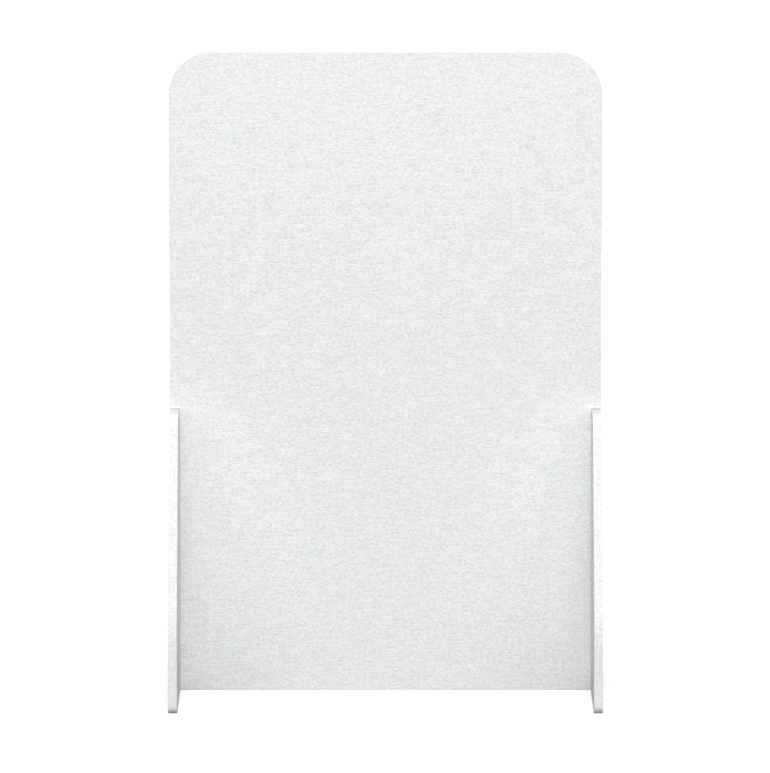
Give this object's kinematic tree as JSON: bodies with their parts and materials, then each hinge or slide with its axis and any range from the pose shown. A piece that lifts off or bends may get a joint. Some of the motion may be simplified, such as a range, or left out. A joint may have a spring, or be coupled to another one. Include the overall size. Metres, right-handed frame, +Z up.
{
  "type": "acoustic divider screen",
  "caption": "Free-standing felt acoustic screen: a flat board with rounded top corners, standing between tapered felt side fins.",
  "frame": {"origin": "on the floor, midway between the two fins and between the panel's two faces", "axes": "+X along the screen to the right as seen from the front, -Y towards the front, +Z up"},
  "size_m": [1.2, 0.701, 1.795],
  "materials": {
    "felt": "pressed polyester felt, light grey melange, matte",
    "fastener_steel": "zinc-plated steel, satin",
    "sleeve_metal": "plain turned brass"
  },
  "bodies": {
    "root": {"panel": "felt", "left_fin": "felt", "right_fin": "felt", "threaded_sleeves": "sleeve_metal", "connector_bolts": "fastener_steel", "bolt_washers": "fastener_steel"}
  },
  "joints": []
}
